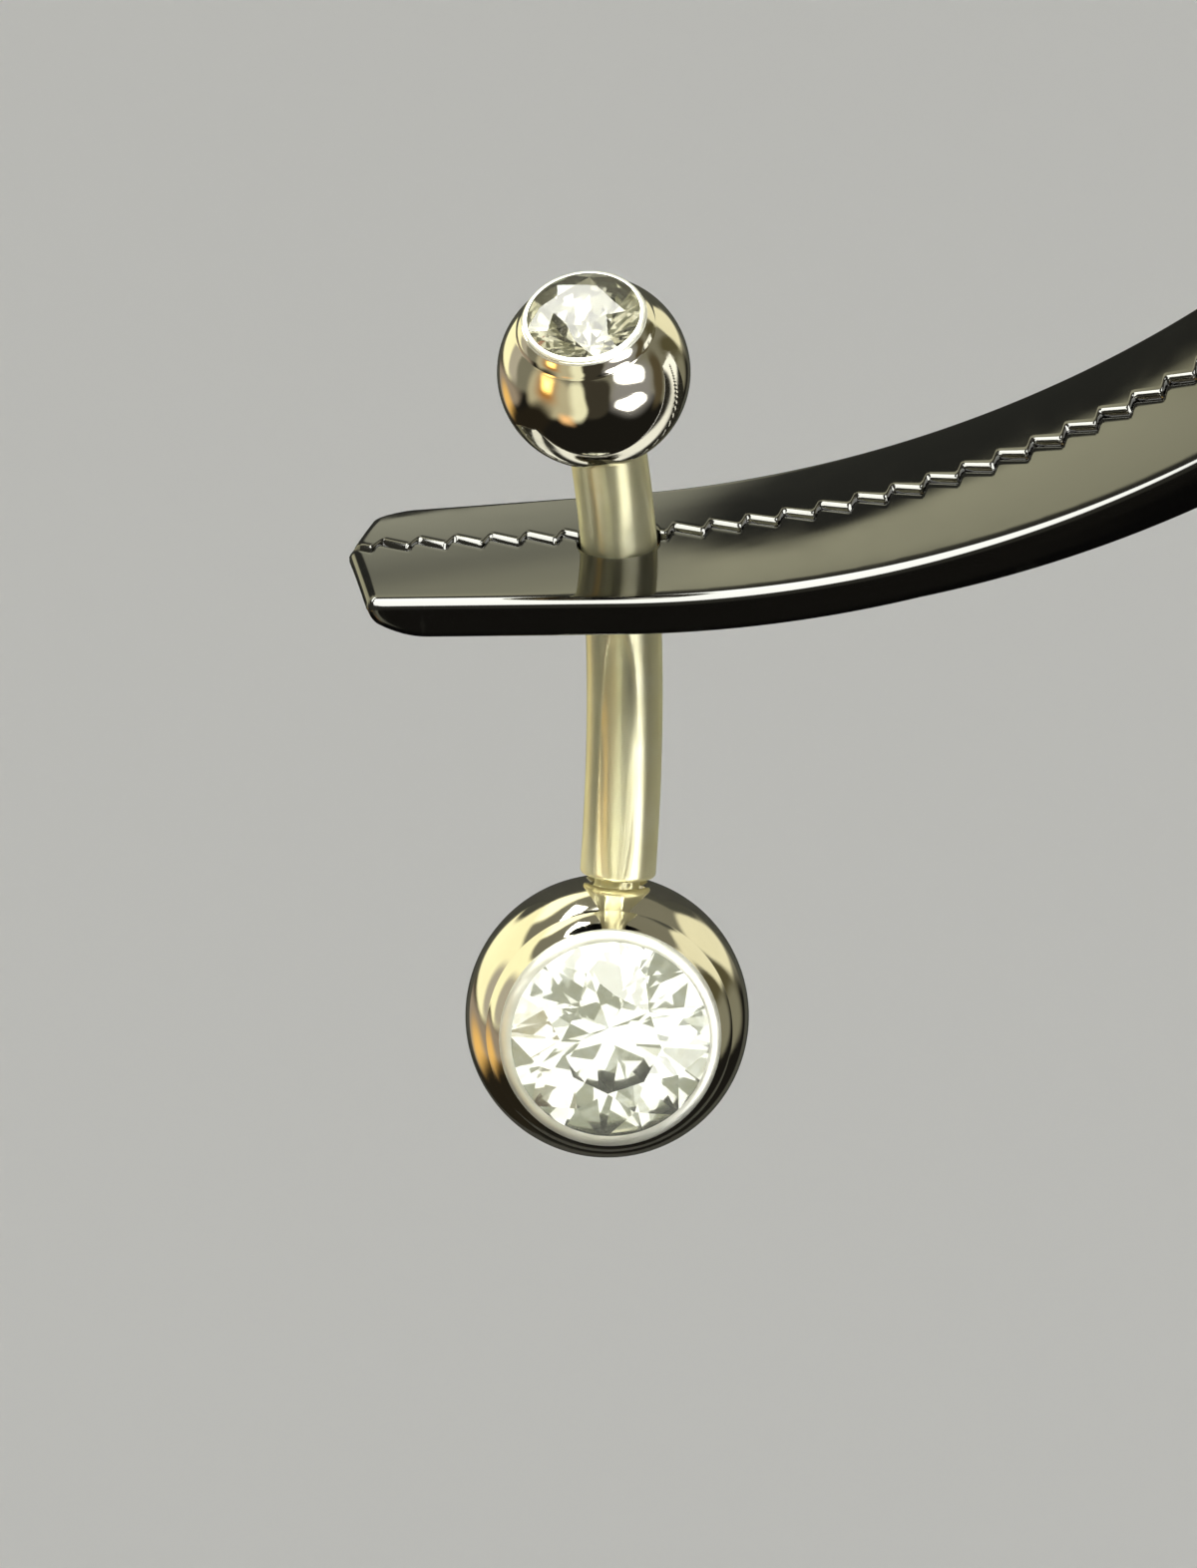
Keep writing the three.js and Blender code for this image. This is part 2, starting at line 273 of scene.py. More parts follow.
def post_rings(end, way, length):
    """Sections of a threaded post, from its shoulder out. way is 1 for the upper one, else -1."""
    return [
        bar_ring(end + way * depth, lambda turn, depth=depth: thread_radius(depth, length, turn))
        for depth in spread(0, length, 60)
    ]


def shoulder_rings(end, way):
    """Sections of the rounded shoulder, from the bar's full radius to the flat at the post."""
    rings = []
    for turn in spread(0, math.pi / 2, 8):
        drop = 1 - math.cos(turn)
        rise = 1 - math.sin(turn)
        radius = BAR.radius - (BAR.radius - SHOULDER.radius) * drop
        rings.append(bar_ring(end - way * SHOULDER.length * rise, lambda _, radius=radius: radius))
    return rings


def make_bar():
    low_length, high_length = post_length(BOTTOM_BALL), post_length(TOP_BALL)
    low, high = -BAR.below, BAR.above
    rings = post_rings(low, -1, low_length)[::-1]
    rings += shoulder_rings(low, -1)[::-1]
    plain = 1.6 * SHOULDER.length
    for s in spread(low + plain, high - plain, 60):
        rings.append(bar_ring(s, lambda _: BAR.radius))
    rings += shoulder_rings(high, 1)
    rings += post_rings(high, 1, high_length)
    points, faces = skin(rings, bar_point(low - low_length)[0], bar_point(high + high_length)[0])
    return place_piece("curved_bar", points, faces, Matrix())


# ---- The balls --------------------------------------------------------------------------------


def culet_height(ball):
    return ball.girdle - ball.stone * math.tan(math.radians(STONE.pavilion))


def crown_height(ball, radius):
    """Height of the line from a stone's girdle to its table, at a radius."""
    slope = ball.crown / (ball.stone - ball.table)
    return ball.girdle + STONE.girdle / 2 + slope * (ball.stone - radius)


def thread_profile(ball, way):
    """The threaded hole's half section, floor to mouth. way is -1 for one that opens downwards."""
    face = spot_face(ball)
    floor = face - ball.hole_depth
    turns = int((ball.hole_depth - HOLE.plain) / POST.pitch)
    profile = [(0, way * floor), (HOLE.crest, way * floor)]
    for i in range(turns):
        height = floor + HOLE.plain + i * POST.pitch
        profile.append((HOLE.crest, way * height))
        profile.append((HOLE.root, way * (height + POST.pitch / 2)))
    profile.append((HOLE.crest, way * (face - HOLE.mouth_depth)))
    profile.append((HOLE.mouth, way * face))
    return profile


def sphere_profile(ball, low_radius):
    """The sphere's arc from low_radius, near its lowest point, up to the foot of the collar."""
    start = -math.acos(low_radius / ball.radius)
    foot = math.acos(ball.foot / ball.radius)
    turns = spread(start, foot, 96)
    return [(ball.radius * math.cos(t), ball.radius * math.sin(t)) for t in turns]


def lip_point(ball, turn):
    """A point of the lip, a quarter of an oval: upright at turn 0 and flat where it ends, inside."""
    inside_height = crown_height(ball, ball.lip_inside) + STONE.under_lip
    start = ball.lip_height - 0.07 * ball.radius
    radius = ball.lip + (ball.lip_inside - ball.lip) * (1 - math.cos(turn))
    return radius, start + (inside_height - start) * math.sin(turn)


def collar_profile(ball):
    """From the collar's foot up its wall, over the lip that holds the stone, to the cup's floor."""
    foot = (ball.foot, math.sqrt(ball.radius ** 2 - ball.foot ** 2))
    top = lip_point(ball, LIP_TURN)
    wall = []
    for t in spread(0.03, 1, 12):
        # The wall bulges a little as it leaves the sphere.
        bulge = 0.008 * ball.radius * math.sin(math.pi * t)
        wall.append((foot[0] + (top[0] - foot[0]) * t + bulge, foot[1] + (top[1] - foot[1]) * t))
    lip = [lip_point(ball, turn) for turn in spread(LIP_TURN, math.pi / 2, 20)[1:]]
    seat = ball.stone + STONE.gap
    under = crown_height(ball, seat) + STONE.under_lip
    floor = culet_height(ball) - STONE.gap / math.cos(math.radians(STONE.pavilion))
    return wall + lip + [(seat, under), (seat, ball.girdle - STONE.gap), (0, floor)]


def burnish_lip(piece, ball, place):
    """The faces of the lip take the piece's second material."""
    origin = (ROW @ place).translation * MM
    gem = (ROW @ place).to_3x3() @ UP
    lowest = lip_point(ball, LIP_TURN)[1] * MM
    for face in piece.data.polygons:
        on_lip = (face.center - origin).dot(gem) > lowest and face.normal.dot(gem) > 0
        face.material_index = int(on_lip)


def make_top_ball():
    profile = thread_profile(TOP_BALL, -1)
    profile += sphere_profile(TOP_BALL, HOLE.spot_face) + collar_profile(TOP_BALL)
    points, faces = lathe(profile, BALL_SIDES)
    return place_piece("upper_ball", points, faces, top_place())


def cut_away(piece, cutter):
    """Subtracts a closed piece from another, and removes it."""
    cut = piece.modifiers.new("cut", "BOOLEAN")
    cut.operation = "DIFFERENCE"
    cut.solver = "EXACT"
    cut.object = cutter
    graph = bpy.context.evaluated_depsgraph_get()
    mesh = bpy.data.meshes.new_from_object(piece.evaluated_get(graph))
    piece.modifiers.clear()
    piece.data = mesh
    bpy.data.objects.remove(cutter)


def true_sphere_normals(piece, centre, radius):
    """Gives faces on a sphere the sphere's own normals, so that a cut leaves no marks there."""
    mesh = piece.data
    normals = [Vector(corner.vector) for corner in mesh.corner_normals]
    for face in mesh.polygons:
        outward = [mesh.vertices[v].co - centre for v in face.vertices]
        if all(abs(v.length - radius) < 2e-4 * radius for v in outward):
            for corner, away in zip(face.loop_indices, outward):
                normals[corner] = away.normalized()
    mesh.normals_split_custom_set(normals)


def make_bottom_ball():
    place = bottom_place()
    profile = [(0, -BOTTOM_BALL.radius)]
    profile += sphere_profile(BOTTOM_BALL, 0.04) + collar_profile(BOTTOM_BALL)
    points, faces = lathe(profile, BALL_SIDES)
    ball = place_piece("lower_ball", points, faces, place)
    # The cutter for its hole and spot face runs on past the ball.
    wide = HOLE.spot_face + 0.1
    past = BOTTOM_BALL.radius + 1
    hole = thread_profile(BOTTOM_BALL, 1)
    hole += [(wide, spot_face(BOTTOM_BALL)), (wide, past), (0, past)]
    points, faces = lathe(hole, 64)
    along = Matrix.Rotation(math.pi / 2, 4, "Y")
    cut_away(ball, place_piece("lower_hole", points, faces, place @ along))
    ball.data.set_sharp_from_angle(angle=SMOOTH_BELOW)
    true_sphere_normals(ball, (ROW @ place).translation * MM, BOTTOM_BALL.radius * MM)
    return ball


# ---- The stones -------------------------------------------------------------------------------


def make_stone(name, ball, place, turned):
    """A round brilliant of 57 facets, its girdle a ring of 16 flats. foil_back foils its back."""
    upper, lower = ball.girdle + STONE.girdle / 2, ball.girdle - STONE.girdle / 2
    crown_top = upper + ball.crown
    cos = math.cos(math.radians(22.5))    # of half the angle between two mains

    def ring(count, radius, height, offset):
        turns = [turned + 2 * math.pi * (i + offset) / count for i in range(count)]
        return [Vector((radius * math.cos(t), radius * math.sin(t), height)) for t in turns]

    # Stars and mains meet half way down the crown, on the plane of the mains.
    main_slope = ball.crown / (ball.stone - ball.table)
    star = 0.5 * (ball.table * cos + ball.stone)
    star_height = crown_top - main_slope * (star * cos - ball.table)
    # The lower halves reach nearly three quarters of the way in from the girdle.
    half = 0.28 * ball.stone
    steep = math.tan(math.radians(STONE.pavilion))
    half_height = lower - steep * (ball.stone - half * cos)
    points = ring(8, ball.table, crown_top, 0) + ring(8, star, star_height, 0.5)
    points += ring(16, ball.stone, upper, 0) + ring(16, ball.stone, lower, 0)
    points += ring(8, half, half_height, 0.5) + [Vector((0, 0, lower - steep * ball.stone))]
    # The number of each ring's first point.
    table, stars, rim, back, halves, culet = 0, 8, 16, 32, 48, 56
    faces = [tuple(range(8))]
    for i in range(8):
        after = (i + 1) % 8
        before = (i - 1) % 8
        faces.append((table + i, table + after, stars + i))
        faces.append((table + i, stars + before, rim + 2 * i, stars + i))
        faces.append((stars + i, rim + 2 * i, rim + 2 * i + 1))
        faces.append((stars + i, rim + 2 * i + 1, rim + (2 * i + 2) % 16))
        faces.append((halves + i, back + 2 * i, back + 2 * i + 1))
        faces.append((halves + i, back + 2 * i + 1, back + (2 * i + 2) % 16))
        faces.append((culet, halves + before, back + 2 * i, halves + i))
    for i in range(16):
        after = (i + 1) % 16
        faces.append((rim + i, rim + after, back + after, back + i))
    return place_piece(name, points, faces, place, smooth_below=math.radians(1))


def foil_back(stone, ball, place):
    """The girdle and the facets below it take the stone's second material."""
    origin = (ROW @ place).translation * MM
    gem = (ROW @ place).to_3x3() @ UP
    highest = (ball.girdle + 0.6 * STONE.girdle) * MM
    for face in stone.data.polygons:
        face.material_index = int((face.center - origin).dot(gem) < highest)


# ---- The strip --------------------------------------------------------------------------------


def slit_line(s):
    """The saw-toothed middle of the slit, with a long flank to the front and a short one back."""
    share = ((s - SLIT.start) / SLIT.pitch) % 1
    if share < SLIT.long_share:
        across = 0.5 - share / SLIT.long_share
    else:
        across = (share - SLIT.long_share) / (1 - SLIT.long_share) - 0.5
    return SLIT.back + SLIT.depth * across


def soft_slit_line(s):
    offsets = spread(-SLIT.soft, SLIT.soft, 6)
    return sum(slit_line(s + offset) for offset in offsets) / len(offsets)


def hole_middle(h):
    """Where the leaning hole's axis passes height h of the strip, as lengths along and across it."""
    at, along = bar_point(-STRIP.thickness / 2)
    middle = at + along * ((h - at.z) / along.z)
    return middle.x, middle.y


def inner_edge(s, h, side):
    """Where a lip ends at the slit or the hole. side is -1 for the front lip, 1 for the rear one."""
    open_share = min(max((SLIT.end - s) / (0.25 * SLIT.pitch), 0), 1)
    edge = soft_slit_line(min(s, SLIT.end)) + side * 0.5 * SLIT.gap * open_share
    hole_s, hole_y = hole_middle(h)
    away = STRIP_HOLE ** 2 - (s - hole_s) ** 2
    if away > 0:
        around = hole_y + side * math.sqrt(away)
        edge = max(edge, around) if side > 0 else min(edge, around)
    return edge


def tip_edge(y):
    """How far in from the tip the strip's end lies, at y across it."""
    rear = y > 0
    length = TIP.rear_length if rear else TIP.front_length
    corner = TIP.rear_round if rear else TIP.front_round
    straight = STRIP.half_width - corner
    across = abs(y)
    inset = TIP.point * min(across, straight) / straight
    if across > straight:
        share = (across - straight) / corner
        inset += (length - TIP.point) * (1 - math.sqrt(max(1 - share ** 2, 0)))
    return inset


def edge_drop(distance, radius):
    """How far a rounded edge has dropped at a distance in from it."""
    if distance >= radius:
        return 0
    return radius - math.sqrt(max(radius ** 2 - (radius - distance) ** 2, 0))


def lip_section(s, side):
    """One lip's section at s as (y, h) points, from its inner wall's foot up, over and under."""
    thickness = strip_thickness(s)
    outer = side * STRIP.half_width
    open_share = min(max((SLIT.end - s) / (0.5 * SLIT.pitch), 0), 1)
    soft = STRIP.round_slit * open_share
    section = []
    for h in spread(-thickness, -soft, 3)[:-1]:
        section.append((inner_edge(s, h, side), h))
    for turn in spread(0, math.pi / 2, 6):
        h = -soft * (1 - math.sin(turn))
        section.append((inner_edge(s, h, side) + side * soft * (1 - math.cos(turn)), h))
    start = inner_edge(s, 0, side) + side * soft
    finish = outer - side * STRIP.round_top
    section += [(y, 0) for y in spread(start, finish, 18)[1:-1]]
    for turn in spread(0, math.pi / 2, 8):
        y = finish + side * STRIP.round_top * math.sin(turn)
        section.append((y, -STRIP.round_top * (1 - math.cos(turn))))
    low = -thickness + STRIP.round_low
    section += [(outer, h) for h in spread(-STRIP.round_top, low, 3)[1:-1]]
    for turn in spread(0, math.pi / 2, 6):
        y = outer - side * STRIP.round_low * (1 - math.cos(turn))
        section.append((y, low - STRIP.round_low * math.sin(turn)))
    finish = outer - side * STRIP.round_low
    section += [(y, -thickness) for y in spread(finish, inner_edge(s, -thickness, side), 12)[1:-1]]
    return section


def strip_stations():
    """Lengths along the strip of its sections: close along the slit, closest round the hole."""
    hole_s = hole_middle(0)[0]
    fine = 0.045
    before = hole_s - STRIP_HOLE - 0.012
    after = hole_s + STRIP_HOLE + 0.07
    stations = spread(STRIP.tip, before, round((before - STRIP.tip) / fine))
    stations += [hole_s - STRIP_HOLE * math.cos(turn) for turn in spread(0.001, math.pi - 0.001, 48)]
    stations += spread(after, SLIT.end, round((SLIT.end - after) / fine))
    stations += spread(SLIT.end, STRIP.end, 14)[1:]
    return stations


def lip_points(s, side, inset):
    """A lip's section in space, bent near the tip to its outline.

    inset is its distance in from the nearer end, which is rounded off.
    """
    points = []
    thickness = strip_thickness(s)
    for y, h in lip_section(s, side):
        shift = max(1 - (s - STRIP.tip) / TIP.reach, 0)
        drop = edge_drop(inset, STRIP.round_top)
        h = -thickness / 2 + (h + thickness / 2) * (1 - 2 * drop / thickness)
        points.append(strip_point(s + tip_edge(y) * shift, y, h))
    return points


def make_lip(side):
    """One half of the strip, from the slit to its edge. Past the slit's end it has no inner wall."""
    stations = strip_stations()
    for step in spread(0, 1, 6)[1:-1]:
        stations.append(STRIP.tip + STRIP.round_top * (1 - math.cos(step * math.pi / 2)))
        stations.append(STRIP.end - STRIP.round_top * (1 - math.cos(step * math.pi / 2)))
    stations = sorted(stations)
    rings = [lip_points(s, side, min(s - STRIP.tip, STRIP.end - s)) for s in stations]
    count = len(rings[0])
    points = [point for ring in rings for point in ring]
    wall = 8    # the first points of a section, up to the top of its rounded inner edge
    faces = []
    for i, s in enumerate(stations[:-1]):
        for j in range(count):
            joined = s > SLIT.end - 1e-6 and j < wall
            if not joined:
                a, b = i * count + j, i * count + (j + 1) % count
                faces.append((a, b, b + count, a + count))
    # The two ends are closed across, from the lower points to the upper ones.
    for start in (0, (len(stations) - 1) * count):
        faces.append(tuple(range(start, start + count)))
    return points, faces


def make_strip():
    points, faces = make_lip(-1)
    rear_points, rear_faces = make_lip(1)
    shift = len(points)
    points += rear_points
    faces += [tuple(v + shift for v in face) for face in rear_faces]
    return place_piece("slit_strip", points, faces, Matrix(), smooth_below=math.radians(40))


# ---- Materials --------------------------------------------------------------------------------


def new_material(name):
    material = bpy.data.materials.new(name)
    material.use_nodes = True
    nodes = material.node_tree.nodes
    return material, nodes, material.node_tree.links, nodes["Principled BSDF"]


def add_node(nodes, kind, **settings):
    node = nodes.new(kind)
    for name, value in settings.items():
        setattr(node, name, value)
    return node


def noise(nodes, links, scale, detail, stretch=(1, 1, 1)):
    """Noise that runs through the piece; scale is in cells per millimetre."""
    where = add_node(nodes, "ShaderNodeTexCoord")
    mapping = add_node(nodes, "ShaderNodeMapping")
    mapping.inputs["Scale"].default_value = [value / MM for value in stretch]
    texture = add_node(nodes, "ShaderNodeTexNoise")
    texture.inputs["Scale"].default_value = scale
    texture.inputs["Detail"].default_value = detail
    links.new(where.outputs["Object"], mapping.inputs["Vector"])
    links.new(mapping.outputs["Vector"], texture.inputs["Vector"])
    return texture.outputs["Fac"]


def ramp(nodes, links, value, low, high):
    """Maps a noise's usual range to low and high."""
    node = add_node(nodes, "ShaderNodeMapRange")
    node.inputs["From Min"].default_value = 0.35
    node.inputs["From Max"].default_value = 0.65
    node.inputs["To Min"].default_value = low
    node.inputs["To Max"].default_value = high
    links.new(value, node.inputs["Value"])
    return node.outputs["Result"]


def bump(nodes, links, height, distance, strength):
    node = add_node(nodes, "ShaderNodeBump")
    node.inputs["Strength"].default_value = strength
    node.inputs["Distance"].default_value = distance
    links.new(height, node.inputs["Height"])
    return node.outputs["Normal"]


def blend(nodes, links, share, first, second):
    """A colour between two, by a share from 0 to 1."""
    node = add_node(nodes, "ShaderNodeMix", data_type="RGBA")
    colours = [socket for socket in node.inputs if socket.type == "RGBA"]
    colours[0].default_value = (*first, 1)
    colours[1].default_value = (*second, 1)
    links.new(share, node.inputs["Factor"])
    return [socket for socket in node.outputs if socket.type == "RGBA"][0]


def combine(nodes, links, operation, first, second):
    node = add_node(nodes, "ShaderNodeMath", operation=operation)
    for socket, value in zip(node.inputs, (first, second)):
        if isinstance(value, float):
            socket.default_value = value
        else:
            links.new(value, socket)
    return node.outputs[0]


def edge_wear(nodes, links, scale):
    """1 on sharp outer edges and 0 on flats and smooth curves, broken up by noise."""
    shape = add_node(nodes, "ShaderNodeNewGeometry").outputs["Pointiness"]
    edges = add_node(nodes, "ShaderNodeMapRange")
    edges.inputs["From Min"].default_value = 0.53
    edges.inputs["From Max"].default_value = 0.62
    links.new(shape, edges.inputs["Value"])
    broken = ramp(nodes, links, noise(nodes, links, scale, detail=4), 0.3, 1.0)
    return combine(nodes, links, "MULTIPLY", edges.outputs["Result"], broken)


def finish_metal(nodes, links, shader, *, clean, dull, smooth, rough, scratch, stretch):
    """Smudges, polishing lines and rubbed edges on a metal."""
    smudges = ramp(nodes, links, noise(nodes, links, scale=1.1, detail=4), 0.0, 1.0)
    links.new(blend(nodes, links, smudges, clean, dull), shader.inputs["Base Color"])
    handled = ramp(nodes, links, noise(nodes, links, scale=1.7, detail=5), smooth, rough)
    rubbed = combine(nodes, links, "MULTIPLY", edge_wear(nodes, links, scale=6), 0.12)
    links.new(combine(nodes, links, "ADD", handled, rubbed), shader.inputs["Roughness"])
    lines = noise(nodes, links, scale=14, detail=3, stretch=stretch)
    relief = bump(nodes, links, lines, distance=scratch * MM, strength=0.25)
    links.new(relief, shader.inputs["Normal"])


def steel_material():
    material, nodes, links, shader = new_material("polished_steel")
    shader.inputs["Metallic"].default_value = 1
    finish_metal(
        nodes, links, shader, clean=(0.85, 0.815, 0.70), dull=(0.81, 0.775, 0.66),
        smooth=0.03, rough=0.07, scratch=0.0012, stretch=(1, 1, 2),
    )
    return material


def burnished_steel_material():
    """The lips that were pressed over the stones are duller than the balls."""
    material, nodes, links, shader = new_material("burnished_steel")
    shader.inputs["Metallic"].default_value = 0.55
    finish_metal(
        nodes, links, shader, clean=(0.95, 0.95, 0.84), dull=(0.88, 0.88, 0.74),
        smooth=0.36, rough=0.48, scratch=0.003, stretch=(1, 1, 1),
    )
    return material


def turned_steel_material():
    """The bar was polished as it turned, so its reflections run on along it."""
    material, nodes, links, shader = new_material("turned_steel")
    # Not wholly metallic: its fine lines scatter some light as a paint would.
    shader.inputs["Metallic"].default_value = 0.6
    shader.inputs["Anisotropic"].default_value = 1
    shader.inputs["Anisotropic Rotation"].default_value = 0.25
    finish_metal(
        nodes, links, shader, clean=(0.98, 0.94, 0.64), dull=(0.94, 0.89, 0.56),
        smooth=0.34, rough=0.42, scratch=0.0015, stretch=(4, 4, 0.3),
    )
    return material


def glass_material():
    material, nodes, links, shader = new_material("crystal")
    shader.inputs["IOR"].default_value = 1.56
    shader.inputs["Transmission Weight"].default_value = 1
    tint = ramp(nodes, links, noise(nodes, links, scale=0.9, detail=2), 0.0, 1.0)
    colour = blend(nodes, links, tint, (1.0, 1.0, 1.0), (0.99, 1.0, 0.98))
    links.new(colour, shader.inputs["Base Color"])
    # Facet edges are a little rubbed; the facets stay clear.
    rubbed = combine(nodes, links, "MULTIPLY", edge_wear(nodes, links, scale=9), 0.08)
    links.new(rubbed, shader.inputs["Roughness"])
    return material


def foil_material(name, bright, dull):
    material, nodes, links, shader = new_material(name)
    shader.inputs["Metallic"].default_value = 0.84
    patches = ramp(nodes, links, noise(nodes, links, scale=3, detail=3), 0.0, 1.0)
    links.new(blend(nodes, links, patches, bright, dull), shader.inputs["Base Color"])
    grain = ramp(nodes, links, noise(nodes, links, scale=5, detail=3), 0.02, 0.06)
    links.new(grain, shader.inputs["Roughness"])
    return material


def plastic_material():
    material, nodes, links, shader = new_material("strip_plastic")
    shader.inputs["IOR"].default_value = 1.8
    wear = edge_wear(nodes, links, scale=2.5)
    colour = blend(nodes, links, wear, (0.003, 0.003, 0.003), (0.012, 0.012, 0.01))
    links.new(colour, shader.inputs["Base Color"])
    handled = ramp(nodes, links, noise(nodes, links, scale=0.8, detail=5), 0.05, 0.11)
    rubbed = combine(nodes, links, "MULTIPLY", wear, 0.08)
    links.new(combine(nodes, links, "ADD", handled, rubbed), shader.inputs["Roughness"])
    # The moulded sheet is slightly wavy, with waves that are longer along it.
    waves = noise(nodes, links, scale=0.5, detail=2, stretch=(0.4, 1, 1))
    relief = bump(nodes, links, waves, distance=0.02 * MM, strength=0.3)
    links.new(relief, shader.inputs["Normal"])
    return material


# ---- The pieces -------------------------------------------------------------------------------

steel = steel_material()
turned_steel = turned_steel_material()
burnished_steel = burnished_steel_material()
crystal = glass_material()
# The small stone's foil is darker, so that its face shows more of what it mirrors.
bright_foil = foil_material("bright_foil", (0.95, 0.96, 0.93), (0.90, 0.90, 0.82))
dark_foil = foil_material("dark_foil", (0.80, 0.79, 0.69), (0.60, 0.58, 0.46))
plastic = plastic_material()

strip = make_strip()
strip.data.materials.append(plastic)
stand_for(strip, "display_strip", "strip_and_bar")

bar = make_bar()
bar.data.materials.append(turned_steel)
stand_for(bar, "bar", "strip_and_bar")

lower_ball = make_bottom_ball()
lower_ball.data.materials.clear()
lower_ball.data.materials.append(steel)
lower_ball.data.materials.append(burnished_steel)
burnish_lip(lower_ball, BOTTOM_BALL, bottom_place())
stand_for(lower_ball, "bottom_ball", "strip_and_bar")

upper_ball = make_top_ball()
upper_ball.data.materials.append(steel)
upper_ball.data.materials.append(burnished_steel)
burnish_lip(upper_ball, TOP_BALL, top_place())
stand_for(upper_ball, "top_ball", "top_ball")

for name, ball, place, node, body, foil, turned in (
    ("lower_stone", BOTTOM_BALL, bottom_place(), "bottom_stone", "strip_and_bar", bright_foil, 0.0),
    ("upper_stone", TOP_BALL, top_place(), "top_stone", "top_ball", dark_foil, 0.2),
):
    stone = make_stone(name, ball, place, turned)
    stone.data.materials.append(crystal)
    stone.data.materials.append(foil)
    foil_back(stone, ball, place)
    stand_for(stone, node, body)

# ---- The stage --------------------------------------------------------------------------------

# In metres: the floor's distance below the jewellery, half its side, the room's radius and the
# distance of the two soft lamps.
FLOOR_DROP = 0.045
FLOOR_HALF = 3.0
ROOM_RADIUS = 1.2
LIGHT_DISTANCE = 0.9


def make_floor():
    mesh = bpy.data.meshes.new("floor")
    height = cad_low.z - FLOOR_DROP
    corners = ((-1, -1), (1, -1), (1, 1), (-1, 1))
    points = [(FLOOR_HALF * x, FLOOR_HALF * y, height) for x, y in corners]
    mesh.from_pydata(points, [], [(0, 1, 2, 3)])
    floor = bpy.data.objects.new("floor", mesh)
    bpy.context.scene.collection.objects.link(floor)
    material, _, _, shader = new_material("pale_floor")
    shader.inputs["Base Color"].default_value = (0.70, 0.70, 0.68, 1)
    shader.inputs["Roughness"].default_value = 0.9
    mesh.materials.append(material)
    floor.visible_glossy = False
    floor.visible_transmission = False


# Light on a sphere round the object that only reflections see: soft rounded patches painted one
# over another. Azimuth 0 is behind the object, 90 its right. Angles are in degrees; soft is the
# share of the half sizes over which an edge fades.
ROOM_COLOUR = (0.22, 0.21, 0.155)
MIRRORED = (
    # name, azimuth, elevation, half width, half height, turn, soft, strength, colour
    ("ground", 0, -90, 73, 73, 0, 0.05, 0.012, (1.0, 0.92, 0.75)),
    ("overhead", -155, 80, 26, 36, 0, 0.1, 12.0, (1.0, 1.0, 0.92)),
    ("back_ceiling", -17, 31, 20, 8, -14, 0.15, 1.7, (1.0, 0.96, 0.64)),
    ("left_wall", -50, 9, 26, 21, 12, 0.1, 1.25, (1.0, 0.95, 0.60)),
    ("left_corner", -68, 2, 10, 14, 0, 0.3, 0.5, (1.0, 0.92, 0.74)),
    ("left_counter", -45, -22, 32, 8, 0, 0.3, 0.36, (1.0, 0.82, 0.62)),
    ("ember", -45, -28, 9, 7, 0, 0.7, 1.0, (1.0, 0.60, 0.18)),
    ("right_wall", 42, 14, 12, 20, -20, 0.12, 0.95, (1.0, 0.95, 0.66)),
    ("right_beam", 60, 5, 8, 24, -50, 0.3, 0.1, (1.0, 0.88, 0.45)),
    ("right_room", 66, -16, 24, 12, 0, 0.25, 0.24, (1.0, 0.96, 0.68)),
    ("screen", 0, -14, 27, 36, 0, 0.06, 0.08, (1.0, 1.0, 0.8)),
    ("screen_left", -18, 18, 13, 9, 20, 0.12, 0.08, (1.0, 1.0, 0.8)),
    ("screen_right", 18, 22, 12, 12, -20, 0.12, 0.08, (1.0, 1.0, 0.8)),
    ("doorway", -1, 15, 4, 13, 0, 0.5, 0.8, (1.0, 0.98, 0.72)),
    ("cabinet", 97, -4, 8, 24, 0, 0.3, 0.1, (1.0, 0.8, 0.45)),
    ("window_glow", 134, -4, 26, 26, 0, 0.3, 0.3, (1.0, 0.97, 0.95)),
    ("window_high", 138, 12, 17, 9, 12, 0.3, 7.0, (1.0, 1.0, 1.0)),
    ("window_low", 135, -19, 16, 6, 0, 0.3, 9.0, (1.0, 1.0, 1.0)),
    ("front_high", 154, 34, 6, 12, 0, 0.4, 11.0, (1.0, 1.0, 0.94)),
    ("front", 180, -12, 18, 26, 0, 0.15, 0.05, (1.0, 0.88, 0.64)),
    ("front_left", -157, -18, 11, 22, 0, 0.2, 1.0, (1.0, 0.98, 0.70)),
    ("counter", -124, -16, 28, 22, 8, 0.2, 0.55, (1.0, 0.90, 0.60)),
    ("lamp_glow", -122, -9, 11, 11, 0, 0.9, 0.45, (1.0, 0.40, 0.06)),
    ("lamp", -123, -3, 6, 6, 0, 0.9, 4.0, (1.0, 0.66, 0.2)),
    ("lamp_echo", -143, -39, 6, 5, 0, 0.9, 1.2, (1.0, 0.6, 0.28)),
    ("left_shade", -62, -44, 50, 12, 0, 0.3, 0.02, (1.0, 0.8, 0.5)),
)
# The noise that bends these patches a little, so that no edge in the room is ruled.
BEND = Sizes(count=2.6, amount=0.08)
# What the stones' insides see instead: bright and dim cells, and a few coloured glints.
CELLS = Sizes(count=6.0, edge=0.05, dim=(0.40, 0.41, 0.31), bright=(2.1, 2.1, 2.0))
GLINTS = (
    ("red", 118, 18, 4, 4, 0, 0.5, 1.2, (1.0, 0.35, 0.25)),
    ("blue", -170, -34, 4, 4, 0, 0.5, 1.6, (0.5, 0.75, 1.0)),
    ("gold", -176, -60, 8, 5, 0, 0.5, 1.8, (1.0, 0.85, 0.3)),
)
# Without a seed, noise_vector takes one from the clock, and the room differs with each run.
NOISE_SEED = 4


